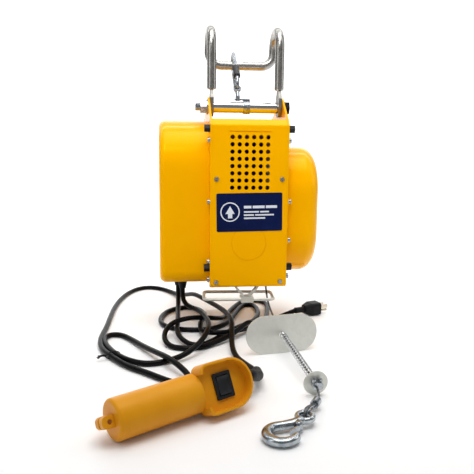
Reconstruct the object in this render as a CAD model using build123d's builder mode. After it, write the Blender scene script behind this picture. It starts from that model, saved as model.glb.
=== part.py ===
from build123d import *

import os
from math import acos, atan2, cos, degrees, hypot, pi, radians, sin, sqrt, tan

os.makedirs("parts", exist_ok=True)

# A small electric wire-rope hoist that hangs by a double hook from a bar.
# +X is to the right, +Y to the rear, +Z up. The origin is on the axis of the bar that the
# two hooks hold, midway between them.

# Driving dimensions, in millimetres
FLOOR = -455.0            # surface that the cords, the pendant and the rope end lie on
SHEET = 1.6               # sheet steel of the covers
PLATE = 3.0               # side plates
HALF = 59.0               # half the width between the side plates
OUT = HALF + PLATE        # outer faces of the side plates
FRONT, REAR = -92.0, 70.0
TOP, BOTTOM = -115.0, -382.0
BEVEL = 9.0               # sloping strip along the top edges of the front and rear
BOLT = (-30.0, -95.0)     # (y, z) of the cross bolt
BOLT_R = 6.0
MOTOR = (-4.0, -190.0)    # (y, z) of the motor shaft
DRUM = (-4.0, -300.0)     # (y, z) of the drum shaft
CASE_R = 73.0             # round ends of both side covers
CORD_D = 8.0
ROPE_D = 3.0
FIT = 0.05                # radial clearance of a running fit
REST = FLOOR + CORD_D / 2

# Bar hooks
ROD_D = 15.0
HOOK_X = 55.5
BEND_R = 30.0
CROSSBAR = (30.0, -22.0)  # (y, z) of the rear crossbar

# Gears: (module, teeth)
MOTOR_PINION, LAY_GEAR = (1.5, 12), (1.5, 56)
LAY_PINION, DRUM_GEAR = (2.0, 12), (2.0, 60)

UP = (0, 0, 1)


def save(part, name):
    part.label = name
    export_step(part, f"parts/{name}.step")


def across(x):
    """Plane at right angles to X, whose sketch axes are Y and Z."""
    return Plane.YZ.offset(x)


def facing(y):
    """Plane at right angles to Y that looks to the front, with sketch axes X and Z."""
    return Plane.XZ.offset(-y)


def disc(centre, radius, x0, x1, mode=Mode.ADD):
    """Cylinder along X from x0 to x1, centred on a (y, z) point."""
    with BuildSketch(across(x0)) as face:
        with Locations(centre):
            Circle(radius)
    extrude(face.sketch, amount=x1 - x0, mode=mode)


def discs(centres, radius, x0, x1, mode=Mode.ADD):
    for centre in centres:
        disc(centre, radius, x0, x1, mode)


def block(x, y, z, mode=Mode.ADD):
    """Box between two limits on each axis."""
    with BuildSketch(Plane.XY.offset(z[0])) as face:
        with Locations(((x[0] + x[1]) / 2, (y[0] + y[1]) / 2)):
            Rectangle(x[1] - x[0], y[1] - y[0])
    extrude(face.sketch, amount=z[1] - z[0], mode=mode)


def ring(name, centre, outer, inner, x0, x1):
    with BuildPart() as made:
        disc(centre, outer, x0, x1)
        disc(centre, inner, x0, x1, Mode.SUBTRACT)
    save(made.part, name)


def touch_point(point, centre, radius, side):
    """Where a line from the point touches a circle, on one side of it."""
    reach = (point[0] - centre[0], point[1] - centre[1])
    turn = atan2(reach[1], reach[0]) + side * acos(radius / hypot(*reach))
    return centre[0] + radius * cos(turn), centre[1] + radius * sin(turn)


# Fastener places, as (y, z)
TIES = [(-85, -130), (-85, -350), (60, -130), (60, -350)]
LEFT_SCREWS = [(-86, z) for z in (-148, -244, -340, -369)] + [(64, -148)]
RIGHT_SCREWS = [(-86, z) for z in (-148, -244, -306, -365)] + [(64, -148), (64, -365)]
TAB_SCREWS = RIGHT_SCREWS[1:3]        # those that hold the brake cover's two tabs
LEVER = (20.0, -371.0)    # (y, z) of the limit lever's pivot

# Lay shaft: where the circles of the two gear meshes cross
mesh_in = MOTOR_PINION[0] * (MOTOR_PINION[1] + LAY_GEAR[1]) / 2 + 0.1
mesh_out = LAY_PINION[0] * (LAY_PINION[1] + DRUM_GEAR[1]) / 2 + 0.1
shafts = MOTOR[1] - DRUM[1]
down = (mesh_in**2 - mesh_out**2 + shafts**2) / (2 * shafts)
LAY = (MOTOR[0] + sqrt(mesh_in**2 - down**2), MOTOR[1] - down)


# ---- Housing ------------------------------------------------------------------------------

def side_plate(x0, name, holes):
    """Side plate with an ear that rises to the cross bolt; holes are (y, z, radius)."""
    ear_r = 16
    front_top, rear_top = (FRONT + BEVEL, TOP), (REAR - BEVEL, TOP)
    start = touch_point(front_top, BOLT, ear_r, -1)
    end = touch_point(rear_top, BOLT, ear_r, 1)
    with BuildPart() as plate:
        with BuildSketch(across(x0)) as outline:
            with BuildLine():
                Polyline((FRONT, BOTTOM), (FRONT, TOP - BEVEL), front_top, start)
                ThreePointArc(start, (BOLT[0], BOLT[1] + ear_r), end)
                Polyline(end, rear_top, (REAR, TOP - BEVEL), (REAR, BOTTOM), (FRONT, BOTTOM))
            make_face()
            lower = outline.vertices().group_by(Axis.Y)[0]
            fillet(lower, 6)
        extrude(amount=PLATE)
        for y, z, radius in holes:
            disc((y, z), radius, x0, x0 + PLATE, Mode.SUBTRACT)
    save(plate.part, name)


common = [(*BOLT, BOLT_R + FIT), (*MOTOR, 13.02), (*DRUM, 16.02), (*LEVER, 3 + FIT)]
common += [(*tie, 3.05) for tie in TIES]
left_holes = common + [(*LAY, 12.02), (-40, -170, 8)] + [(*s, 2.05) for s in LEFT_SCREWS]
side_plate(-OUT, "left_side_plate", left_holes)
side_plate(HALF, "right_side_plate", common + [(*s, 2.05) for s in RIGHT_SCREWS])


def channel(wall_y, edge_y, fold):
    """Cover bent over the top and bottom of the housing, with lips inside the side plates."""
    inward = 1 if edge_y > wall_y else -1
    mid = SHEET / 2
    y = wall_y + inward * mid
    with BuildSketch(across(-HALF)) as section:
        with BuildLine():
            FilletPolyline((edge_y, TOP - mid), (y + inward * BEVEL, TOP - mid), (y, TOP - mid - BEVEL),
                           (y, BOTTOM + mid), (edge_y, BOTTOM + mid), radius=[3, 3, fold])
        trace(line_width=SHEET)
    extrude(section.sketch, amount=2 * HALF)
    lip = sorted((wall_y + inward * SHEET, wall_y + inward * 14))
    for side in (-1, 1):
        x = sorted((side * HALF, side * (HALF - SHEET)))
        block(x, lip, (BOTTOM + 8, TOP - BEVEL - 12))


VENT_PITCH, VENT_D = 11.2, 6.8
VENT_MID, REAR_VENT_MID = -182.0, -204.0
cover_screw_spots = [(x, z) for x in (-52, 52) for z in (-208, -373)]

with BuildPart() as front_cover:
    channel(FRONT, -12, 4.2)
    with BuildSketch(facing(FRONT)):
        with Locations((0.5, VENT_MID)):
            with GridLocations(VENT_PITCH, VENT_PITCH, 6, 8):
                Circle(VENT_D / 2)
        with Locations(*cover_screw_spots):
            Circle(2.05)
    extrude(amount=-SHEET, mode=Mode.SUBTRACT)
    with BuildSketch(facing(FRONT)):
        with Locations((0, -310)):
            Circle(28.4)
            Circle(27, mode=Mode.SUBTRACT)
    extrude(amount=-0.5, mode=Mode.SUBTRACT)
    with BuildSketch(facing(FRONT)):
        with Locations((0.5, -134.5)):
            SlotOverall(66, 1.6)
    extrude(amount=-0.9, mode=Mode.SUBTRACT)
    discs(TIES[:2], 3.05, -HALF, HALF, Mode.SUBTRACT)
    discs([s for s in set(LEFT_SCREWS + RIGHT_SCREWS) if s[0] < 0], 2.05, -HALF, HALF, Mode.SUBTRACT)
    with BuildSketch(Plane.XY.offset(BOTTOM)):
        with Locations((8, -66.7)):
            RectangleRounded(80, 45.4, 4)
    extrude(amount=5, mode=Mode.SUBTRACT)
save(front_cover.part, "front_cover")

with BuildPart() as rear_cover:
    channel(REAR, -11, 4.2)
    with BuildSketch(facing(REAR)):
        with Locations((0, REAR_VENT_MID)):
            with GridLocations(VENT_PITCH, VENT_PITCH, 6, 6):
                Circle(VENT_D / 2)
        with Locations(*cover_screw_spots):
            Circle(2.05)
    extrude(amount=SHEET, mode=Mode.SUBTRACT)
    discs(TIES[2:], 3.05, -HALF, HALF, Mode.SUBTRACT)
    discs([s for s in set(LEFT_SCREWS + RIGHT_SCREWS) if s[0] > 0], 2.05, -HALF, HALF, Mode.SUBTRACT)
save(rear_cover.part, "rear_cover")

with BuildPart() as nameplate:
    with BuildSketch(Plane(origin=(0.5, FRONT, -260), x_dir=(cos(radians(1)), 0, sin(radians(1))),
                           z_dir=(0, -1, 0))):
        RectangleRounded(105, 61, 2.5)
    extrude(amount=0.5)
save(nameplate.part, "nameplate")


def gear_case(inset):
    """Outline of the gear cover: a round top, straight sides and rounded lower corners."""
    radius, low, corner = CASE_R - inset, -379 + inset, 22 - inset
    y0, y1 = MOTOR[0] - radius, MOTOR[0] + radius
    with BuildLine() as line:
        ThreePointArc((y0, MOTOR[1]), (MOTOR[0], MOTOR[1] + radius), (y1, MOTOR[1]))
        FilletPolyline((y1, MOTOR[1]), (y1, low), (y0, low), (y0, MOTOR[1]), radius=corner)
    make_face(line.edges())


def brake_case(inset):
    """Outline of the brake cover: two round ends joined by straight sides."""
    with Locations((MOTOR[0], -265)):
        SlotCenterToCenter(67, 2 * (CASE_R - inset), rotation=90)


def case_shell(outline, x0, x1, corner):
    """Drawn steel cover, open against the side plate, with a rounded outer edge."""
    inward = 1 if x1 < x0 else -1
    with BuildPart() as solid:
        with BuildSketch(across(x0)):
            outline(0)
        extrude(amount=x1 - x0)
        fillet(solid.faces().filter_by_position(Axis.X, x1 - 0.1, x1 + 0.1).edges(), corner)
    with BuildPart() as hollow:
        with BuildSketch(across(x0)):
            outline(SHEET)
        extrude(amount=x1 + inward * SHEET - x0)
        end = x1 + inward * SHEET
        fillet(hollow.faces().filter_by_position(Axis.X, end - 0.1, end + 0.1).edges(), corner - SHEET)
    with BuildPart() as shell:
        add(solid.part)
        add(hollow.part, mode=Mode.SUBTRACT)
    return shell


GLANDS = [(-103, -18), (-110, 4)]      # (x, y) of the pendant and mains cord glands
gear_cover = case_shell(gear_case, -OUT, -141, 10)
with BuildPart() as gear_cover_drilled:
    add(gear_cover.part)
    with BuildSketch(Plane.XY.offset(-380)):
        with Locations(*GLANDS):
            Circle(6)
    extrude(amount=4, mode=Mode.SUBTRACT)
save(gear_cover_drilled.part, "gear_cover")
brake_cover = case_shell(brake_case, OUT, 120, 24)
with BuildPart() as brake_cover_tabbed:
    add(brake_cover.part)
    for y, z in TAB_SCREWS:
        block((OUT, OUT + SHEET), (-91, -74.8), (z - 6, z + 6))
    discs(TAB_SCREWS, 2.05, OUT, OUT + SHEET, Mode.SUBTRACT)
save(brake_cover_tabbed.part, "brake_cover")

# ---- Fasteners ----------------------------------------------------------------------------

with BuildPart() as cover_screws:
    for wall_y, out in ((FRONT, 1), (REAR, -1)):
        for x, z in cover_screw_spots:
            with BuildSketch(facing(wall_y)):
                with Locations((x, z)):
                    Circle(4)
            extrude(amount=2.4 * out, taper=20)
            with BuildSketch(facing(wall_y)):
                with Locations((x, z)):
                    Circle(2)
            extrude(amount=-6 * out)
            with BuildSketch(facing(wall_y - 2.4 * out)):
                with Locations((x, z)):
                    Rectangle(4.2, 1)
                    Rectangle(1, 4.2)
            extrude(amount=-1.2 * out, mode=Mode.SUBTRACT)
    for side, spots in ((-1, LEFT_SCREWS), (1, RIGHT_SCREWS)):
        for spot in spots:
            seat = OUT + (SHEET if side > 0 and spot in TAB_SCREWS else 0)
            disc(spot, 4.1, side * seat, side * (seat + 4))
            disc(spot, 2, side * (OUT - 6), side * seat)
save(cover_screws.part, "cover_screws")

with BuildPart() as tie_bolts:
    for tie in TIES:
        disc(tie, 3, -OUT - 4, OUT + 4)
        for side in (-1, 1):
            with BuildSketch(across(side * OUT)):
                with Locations(tie):
                    RegularPolygon(6.5, 6)
            extrude(amount=side * 9)
save(tie_bolts.part, "tie_bolts")

with BuildPart() as cross_bolt:
    disc(BOLT, BOLT_R, -82, OUT + 4)
    with BuildSketch(across(OUT + 2)):
        with Locations(BOLT):
            RegularPolygon(11, 6)
    extrude(amount=8)
    disc(BOLT, 12, OUT, OUT + 2)
save(cross_bolt.part, "cross_bolt")

with BuildPart() as cross_nut:
    disc(BOLT, 12, -OUT - 2, -OUT)
    with BuildSketch(across(-OUT - 2)):
        with Locations(BOLT):
            RegularPolygon(11, 6)
    extrude(amount=-10)
    disc(BOLT, BOLT_R + 0.02, -OUT - 12, -OUT, Mode.SUBTRACT)
save(cross_nut.part, "cross_nut")

SLEEVE_R = 8.75
ring("spacer_sleeve", BOLT, SLEEVE_R, BOLT_R + 0.1, -52.6, 52.6)

# ---- Bar hooks and safety link ------------------------------------------------------------

with BuildPart() as hook_rod:
    with BuildLine() as bar:
        Line((-HOOK_X, -BEND_R, -67), (-HOOK_X, -BEND_R, 0))
        ThreePointArc((-HOOK_X, -BEND_R, 0), (-HOOK_X, 0, BEND_R), (-HOOK_X, BEND_R, 0))
        FilletPolyline((-HOOK_X, BEND_R, 0), (-HOOK_X, *CROSSBAR), (HOOK_X, *CROSSBAR),
                       (HOOK_X, BEND_R, 0), radius=21)
        ThreePointArc((HOOK_X, BEND_R, 0), (HOOK_X, 0, BEND_R), (HOOK_X, -BEND_R, 0))
        Line((HOOK_X, -BEND_R, 0), (HOOK_X, -BEND_R, -67))
    with BuildSketch(Plane(origin=(-HOOK_X, -BEND_R, -67), z_dir=UP)):
        Circle(ROD_D / 2)
    sweep(path=bar.wire())
    chamfer(hook_rod.edges().filter_by(GeomType.CIRCLE).group_by(Axis.Z)[0], 1.8)
save(hook_rod.part, "hook_rod")

LUG_R = 15.0
with BuildPart() as hook_lugs:
    for x0 in (-HOOK_X - 2.5, HOOK_X - 2.5):
        with BuildSketch(across(x0)):
            with BuildLine():
                ThreePointArc((BOLT[0] + LUG_R, BOLT[1]), (BOLT[0], BOLT[1] - LUG_R),
                              (BOLT[0] - LUG_R, BOLT[1]))
                Polyline((BOLT[0] - LUG_R, BOLT[1]), (BOLT[0] - LUG_R, -80), (BOLT[0] - 5.5, -67),
                         (BOLT[0] + 5.5, -67), (BOLT[0] + LUG_R, -80), (BOLT[0] + LUG_R, BOLT[1]))
            make_face()
        extrude(amount=5)
        disc(BOLT, BOLT_R + FIT, x0, x0 + 5, Mode.SUBTRACT)
save(hook_lugs.part, "hook_lugs")

LINK_X = -12.5                        # plane of the carabiner
WIRE_R, LOOP_R, LOOP_LONG = 3.0, 13.0, 66.0
LOOP_RISE = 13.0                      # how far the top of the loop stands above the crossbar
lean = atan2(48, 58)                  # slope of the carabiner, from the bolt up to the crossbar
u, v = (cos(lean), sin(lean)), (sin(lean), -cos(lean))


def on_loop(along, side):
    """(y, z) of a point on the carabiner: along its length, then towards its lower side."""
    top = (CROSSBAR[0] + LOOP_RISE * u[0], CROSSBAR[1] + LOOP_RISE * u[1])
    return (top[0] + (along - LOOP_LONG) * u[0] + side * v[0],
            top[1] + (along - LOOP_LONG) * u[1] + side * v[1])


def at_link(along, side, x=LINK_X):
    return (x, *on_loop(along, side))


TAB_TOP = BOLT[1] + SLEEVE_R + 4.9    # tab of the band clamp, which holds the swivel
with BuildPart() as band_clamp:
    disc(BOLT, SLEEVE_R + 1.6, -4, 7)
    disc(BOLT, SLEEVE_R + FIT, -4, 7, Mode.SUBTRACT)
    block((-18, 7), (-33, -25), (TAB_TOP - 2, TAB_TOP))
    block((-4, 7), (-33, -25), (BOLT[1] + SLEEVE_R + 0.9, TAB_TOP))
    with BuildSketch(Plane.XY.offset(TAB_TOP - 2)):
        with Locations((LINK_X, -29)):
            Circle(2.1)
    extrude(amount=2, mode=Mode.SUBTRACT)
save(band_clamp.part, "band_clamp")

EYE = (LINK_X, -29, TAB_TOP)
eye_top = at_link(-LOOP_R, 0)
with BuildPart() as swivel_link:
    with BuildSketch(Plane(origin=EYE, z_dir=UP)):
        Circle(3.6)
    extrude(amount=5)
    with BuildSketch(Plane(origin=EYE, z_dir=UP)):
        Circle(2)
    extrude(amount=-2)
    with BuildSketch(Plane(origin=(EYE[0], EYE[1], EYE[2] - 3.3), z_dir=UP)):
        Circle(3.4)
    extrude(amount=1.3)
    foot = Vector(EYE[0], EYE[1], EYE[2] + 3)
    rise = Vector(*eye_top) - foot
    with BuildSketch(Plane(origin=foot, z_dir=rise)):
        Circle(3.2)
    extrude(amount=rise.length - 6.2)
    with BuildSketch(Plane(origin=eye_top, x_dir=(0, *u), z_dir=(0, -v[0], -v[1]))):
        Circle(6.6)
        Circle(3.9, mode=Mode.SUBTRACT)
    extrude(amount=1.9, both=True)
save(swivel_link.part, "swivel_link")

GATE_START, GATE_END = 0.8, 40.0
with BuildPart() as carabiner:
    with BuildLine() as body_line:
        ThreePointArc(at_link(0, -LOOP_R), at_link(-LOOP_R, 0), at_link(0, LOOP_R))
        Line(at_link(0, LOOP_R), at_link(LOOP_LONG, LOOP_R))
        ThreePointArc(at_link(LOOP_LONG, LOOP_R), at_link(LOOP_LONG + LOOP_R, 0),
                      at_link(LOOP_LONG, -LOOP_R))
        Line(at_link(LOOP_LONG, -LOOP_R), at_link(GATE_END + 0.6, -LOOP_R))
    with BuildSketch(Plane(origin=at_link(0, -LOOP_R), z_dir=(0, -u[0], -u[1]))):
        Circle(WIRE_R)
    sweep(path=body_line.wire())
save(carabiner.part, "carabiner")

with BuildPart() as carabiner_gate:
    with BuildSketch(Plane(origin=at_link(GATE_START, -LOOP_R), z_dir=(0, *u))):
        Circle(WIRE_R)
    extrude(amount=GATE_END - GATE_START)
save(carabiner_gate.part, "carabiner_gate")

with BuildPart() as gate_sleeve:
    with BuildSketch(Plane(origin=at_link(3, -LOOP_R), z_dir=(0, *u))):
        Circle(5.5)
        Circle(WIRE_R + FIT, mode=Mode.SUBTRACT)
    extrude(amount=26)
save(gate_sleeve.part, "gate_sleeve")

# ---- Motor, brake and gears ---------------------------------------------------------------

BEARINGS = [(MOTOR, 13, 5), (DRUM, 16, 8)]
GEAR_PLATE = (-104.0, -100.0)
with BuildPart() as shaft_bearings:
    for centre, outer, inner in BEARINGS:
        for x0, x1 in ((-66, -HALF), (HALF, 66)):
            disc(centre, outer, x0, x1)
            disc(centre, inner + FIT, x0, x1, Mode.SUBTRACT)
    for centre, outer, inner, x0, x1 in ((LAY, 12, 6, -66, -HALF), (LAY, 12, 6, -106, -98),
                                         (DRUM, 16, 8, -106, -98)):
        disc(centre, outer, x0, x1)
        disc(centre, inner + FIT, x0, x1, Mode.SUBTRACT)
save(shaft_bearings.part, "shaft_bearings")

ring("motor_stator", MOTOR, 42, 27, -35, 35)
with BuildPart() as field_windings:
    for x0, x1 in ((-49, -35), (35, 49)):
        disc(MOTOR, 38, x0, x1)
        disc(MOTOR, 28, x0, x1, Mode.SUBTRACT)
save(field_windings.part, "field_windings")

with BuildPart() as motor_end_bells:
    for side in (-1, 1):
        disc(MOTOR, 42, side * 35, side * HALF)
        disc(MOTOR, 39, side * 35, side * (HALF - 3), Mode.SUBTRACT)
        disc(MOTOR, 13.02, side * (HALF - 3), side * HALF, Mode.SUBTRACT)
save(motor_end_bells.part, "motor_end_bells")


def gear_teeth(gear, centre, tooth_angle):
    """Gear outline with straight flanks; one tooth points along tooth_angle, in degrees."""
    module, teeth = gear
    pitch_r = module * teeth / 2
    root_r, tip_r = pitch_r - 1.2 * module, pitch_r + 0.85 * module
    with BuildLine() as line:
        corners = []
        for tooth in range(teeth):
            middle = radians(tooth_angle) + 2 * pi * tooth / teeth
            for radius, share in ((root_r, -0.29), (tip_r, -0.1), (tip_r, 0.1), (root_r, 0.29)):
                angle = middle + share * 2 * pi / teeth * pitch_r / radius
                corners.append((centre[0] + radius * cos(angle), centre[1] + radius * sin(angle)))
        Polyline(*corners, close=True)
    make_face(line.edges())


def gear(gear_size, centre, tooth_angle, x0, x1):
    with BuildSketch(across(x0)) as face:
        gear_teeth(gear_size, centre, tooth_angle)
    extrude(face.sketch, amount=x1 - x0)


to_lay = degrees(atan2(LAY[1] - MOTOR[1], LAY[0] - MOTOR[0]))
to_drum = degrees(atan2(DRUM[1] - LAY[1], DRUM[0] - LAY[0]))

with BuildPart() as motor_shaft:
    disc(MOTOR, 5, -78, 103)
    gear(MOTOR_PINION, MOTOR, to_lay, -77, -67)
save(motor_shaft.part, "motor_shaft")

with BuildPart() as armature:
    disc(MOTOR, 26.4, -34, 34)
    disc(MOTOR, 21, -48, 48)
    disc(MOTOR, 5, -48, 48, Mode.SUBTRACT)
save(armature.part, "armature")

ring("brake_disc", MOTOR, 23, 5, 83, 87)
ring("brake_coil", MOTOR, 25, 7, 66.5, 82)

with BuildPart() as fan:
    disc(MOTOR, 9, 90, 102)
    disc(MOTOR, 24.5, 90, 91.5)
    for blade in range(8):
        turn = radians(45 * blade)
        out = Plane(origin=(91.5, MOTOR[0] + 16.5 * cos(turn), MOTOR[1] + 16.5 * sin(turn)),
                    x_dir=(0, cos(turn), sin(turn)), z_dir=(1, 0, 0))
        with BuildSketch(out):
            Rectangle(16, 1.6)
        extrude(amount=9)
    disc(MOTOR, 5, 90, 102, Mode.SUBTRACT)
save(fan.part, "fan")

with BuildPart() as lay_shaft:
    disc(LAY, 6, -105, -60)
    gear(LAY_PINION, LAY, to_drum, -96, -80)
save(lay_shaft.part, "lay_shaft")

with BuildPart() as lay_gear:
    gear(LAY_GEAR, LAY, to_lay + 180 + 180 / LAY_GEAR[1], -76, -68)
    disc(LAY, 6, -76, -68, Mode.SUBTRACT)
save(lay_gear.part, "lay_gear")

with BuildPart() as drum_gear:
    gear(DRUM_GEAR, DRUM, to_drum + 180 + 180 / DRUM_GEAR[1], -94, -82)
    disc(DRUM, 8, -94, -82, Mode.SUBTRACT)
    for hole in range(5):
        turn = radians(72 * hole)
        disc((DRUM[0] + 34 * cos(turn), DRUM[1] + 34 * sin(turn)), 11, -94, -82, Mode.SUBTRACT)
save(drum_gear.part, "drum_gear")

WOUND_R = 45.0
with BuildPart() as rope_drum:
    disc(DRUM, 8, -105, 69)
    disc(DRUM, 30, -54, 54)
    for side in (-1, 1):
        disc(DRUM, 58, side * 50, side * 54)
save(rope_drum.part, "rope_drum")
ring("rope_winding", DRUM, WOUND_R, 30, -50, 50)

PILLARS = [(-59, -215), (48, -162), (-60, -364), (52, -364)]
with BuildPart() as gear_plate:
    with BuildSketch(across(GEAR_PLATE[0])) as plate_face:
        with BuildLine():
            Polyline((-67, -210), (44, -152), (57, -159), (60, -371), (-68, -371), close=True)
        make_face()
        fillet(plate_face.vertices(), 5)
    extrude(amount=GEAR_PLATE[1] - GEAR_PLATE[0])
    discs(PILLARS, 5, GEAR_PLATE[1], -OUT)
    disc(LAY, 12.02, *GEAR_PLATE, Mode.SUBTRACT)
    disc(DRUM, 16.02, *GEAR_PLATE, Mode.SUBTRACT)
save(gear_plate.part, "gear_plate")

with BuildPart() as capacitor:
    with BuildSketch(Plane.XY.offset(-262)):
        with Locations((GEAR_PLATE[0] - 16, -40)):
            Circle(16)
    extrude(amount=62)
    fillet(capacitor.edges(), 2)
save(capacitor.part, "capacitor")

# ---- Limit lever --------------------------------------------------------------------------

STRAP_Y = (-87.0, -77.0)
ARMS = (-19.5, 16.5)                  # x of the strap's two arms
with BuildPart() as limit_strap:
    with BuildSketch(facing(STRAP_Y[0])):
        with BuildLine():
            FilletPolyline((ARMS[0], -367), (ARMS[0], -383), (-5.5, -399), (2.5, -399),
                           (ARMS[1], -383), (ARMS[1], -367), radius=4)
        trace(line_width=3)
    extrude(amount=STRAP_Y[0] - STRAP_Y[1])
    for x in ARMS:
        block((x - 1.5, x + 1.5), (STRAP_Y[0], LEVER[0]), (-374, -367))
    disc(LEVER, 5, -56, 56)
    disc(LEVER, 3, -OUT, OUT)
    block((-11.5, 8.5), (-97, -77), (-406, -397.5))
save(limit_strap.part, "limit_strap")

FRAME_Z = -402.0
frame_turn = radians(-4)
frame_plane = Plane(origin=(-13, -66, FRAME_Z), x_dir=(cos(frame_turn), sin(frame_turn), 0), z_dir=UP)
with BuildSketch(frame_plane) as frame_shape:
    RectangleRounded(113, 50, 7)
frame_line = frame_shape.sketch.face().outer_wire()
with BuildPart() as limit_frame:
    with BuildSketch(Plane(origin=frame_line @ 0, z_dir=frame_line % 0)):
        Circle(2.5)
    sweep(path=frame_line)
save(limit_frame.part, "limit_frame")

with BuildPart() as limit_switch:
    block((-29, -11), (-80, -64), (-352, -330))
    with BuildSketch(Plane.XY.offset(-352)):
        with Locations((ARMS[0], -74)):
            Circle(2)
    extrude(amount=-3)
save(limit_switch.part, "limit_switch")

# ---- Rope end -----------------------------------------------------------------------------

SPRING_FROM, SPRING_TO = Vector(36.5, -195, -427), Vector(48, -345, -439.5)
EYE_AT = Vector(17, -420, -446)       # where the load hook hangs in the rope eye
EYE_DIR = Vector(25, 41, 0).normalized()
EYE_LONG, EYE_HALF, EYE_R = 40.0, 6.8, 2.2


def bend_radii(route):
    """Tangent arcs as large as the runs allow: 0.45 of the shorter run at each corner."""
    radii = []
    for before, here, after in zip(route, route[1:], route[2:]):
        first, second = Vector(*here) - Vector(*before), Vector(*after) - Vector(*here)
        turn = radians(first.get_angle(second))
        radii.append(0.45 * min(first.length, second.length) / tan(turn / 2))
    return radii


def free_cord(name, route, diameter):
    """Tube along straight runs joined by tangent arcs."""
    radii = bend_radii(route)
    with BuildPart() as tube:
        with BuildLine() as line:
            FilletPolyline(*route, radius=radii)
        with BuildSketch(Plane(origin=route[0], z_dir=Vector(*route[1]) - Vector(*route[0]))):
            Circle(diameter / 2)
        sweep(path=line.wire())
    ratio = tube.part.volume / (line.wire().length * pi * diameter**2 / 4)
    print(name, "length", round(line.wire().length), "volume ratio", round(ratio, 4),
          "radii", [round(r) for r in radii])
    save(tube.part, name)


eye_start = EYE_AT + EYE_DIR * (EYE_LONG + EYE_HALF)
free_cord("wire_rope", [
    (33, DRUM[0] - WOUND_R - 2, DRUM[1]), (33, -53, -346), (33.4, -61, -383), (34, -80, -407),
    (34.8, -112, -418), (35.6, -154, -423.5), tuple(SPRING_FROM), tuple(SPRING_TO),
    (47, -361, -442.5), (45.5, -373, -445), tuple(eye_start)], ROPE_D)

with BuildPart() as rope_eye:
    side_dir = Vector(0, 0, 1)
    centre_a = EYE_AT + EYE_DIR * EYE_HALF

    def eye_point(along, high):
        return centre_a + EYE_DIR * along + side_dir * high

    span = EYE_LONG - 2 * EYE_HALF
    with BuildLine() as eye_line:
        ThreePointArc(eye_point(0, EYE_HALF), eye_point(-EYE_HALF, 0), eye_point(0, -EYE_HALF))
        Line(eye_point(0, -EYE_HALF), eye_point(span, -2))
        Line(eye_point(span, -2), eye_point(span + 14, -1))
    with BuildSketch(Plane(origin=eye_point(0, EYE_HALF), z_dir=EYE_DIR * -1)):
        Circle(EYE_R)
    sweep(path=eye_line.wire(), transition=Transition.ROUND)
    leg = eye_point(span, 2) - eye_point(0, EYE_HALF)
    with BuildSketch(Plane(origin=eye_point(0, EYE_HALF), z_dir=leg)):
        Circle(EYE_R)
    extrude(amount=leg.length)
    with BuildSketch(Plane(origin=eye_point(span, 2), z_dir=EYE_DIR)):
        Circle(EYE_R)
    extrude(amount=14)
save(rope_eye.part, "rope_eye")

line_dir = (SPRING_TO - SPRING_FROM).normalized()
line_side = line_dir.cross(Vector(*UP)).normalized()
line_up = line_side.cross(line_dir)
with BuildPart() as rope_clamps:
    with BuildSketch(Plane(origin=SPRING_TO + line_dir * 1, x_dir=line_side, z_dir=line_dir)):
        RectangleRounded(13, 9, 3)
    extrude(amount=9)
    with BuildSketch(Plane(origin=SPRING_TO + line_dir * 5.5 + line_up * 4, x_dir=line_side,
                           z_dir=line_up)):
        with Locations((-3.8, 0), (3.8, 0)):
            RegularPolygon(2.7, 6)
    extrude(amount=3.5)
    with BuildSketch(Plane(origin=centre_a + EYE_DIR * (span + 1), z_dir=EYE_DIR)):
        Ellipse(5, 5.5)
    extrude(amount=12)
save(rope_clamps.part, "rope_clamps")

with BuildPart() as spring_washer:
    with BuildSketch(Plane(origin=SPRING_TO - line_dir * 0.8, z_dir=line_dir)):
        Circle(15.4)
        Circle(2, mode=Mode.SUBTRACT)
    extrude(amount=1.6)
save(spring_washer.part, "spring_washer")

with BuildPart() as stop_spring:
    with BuildSketch(Plane(origin=SPRING_FROM + line_dir * 3.6, z_dir=line_dir)):
        Circle(5)
        Circle(3.7, mode=Mode.SUBTRACT)
    extrude(amount=(SPRING_TO - SPRING_FROM).length - 4.6)
save(stop_spring.part, "stop_spring")

plate_turn, plate_lean = radians(10), radians(5)
with BuildPart() as stop_plate:
    face = Plane(origin=(36, -194, -426.9), x_dir=(cos(plate_turn), sin(plate_turn), 0),
                 z_dir=(sin(plate_turn) * cos(plate_lean), -cos(plate_turn) * cos(plate_lean),
                        sin(plate_lean)))
    with BuildSketch(face):
        SlotOverall(110, 56)
        with Locations((0, -1.2)):
            Circle(4.25, mode=Mode.SUBTRACT)
    extrude(amount=1.1, both=True)
save(stop_plate.part, "stop_plate")

# ---- Load hook, lying on its side ---------------------------------------------------------

tilt = radians(3.6)
hook_plane = Plane(origin=EYE_AT, x_dir=(-0.72 * cos(tilt), -0.694 * cos(tilt), -sin(tilt)),
                   z_dir=(-0.72 * sin(tilt), -0.694 * sin(tilt), cos(tilt)))
HOOK_R, BOWL_R, BOWL_AT = 5.0, 16.0, 44.0
bowl_start, bowl_end = radians(-130), radians(125)


def bowl_point(turn):
    return BOWL_AT + BOWL_R * cos(turn), BOWL_R * sin(turn)


def latch_solid(z0, z1, radius, mode=Mode.ADD):
    with BuildSketch(hook_plane.offset(z0)) as face:
        with Locations(LATCH):
            Circle(radius)
    extrude(face.sketch, amount=z1 - z0, mode=mode)


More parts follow.
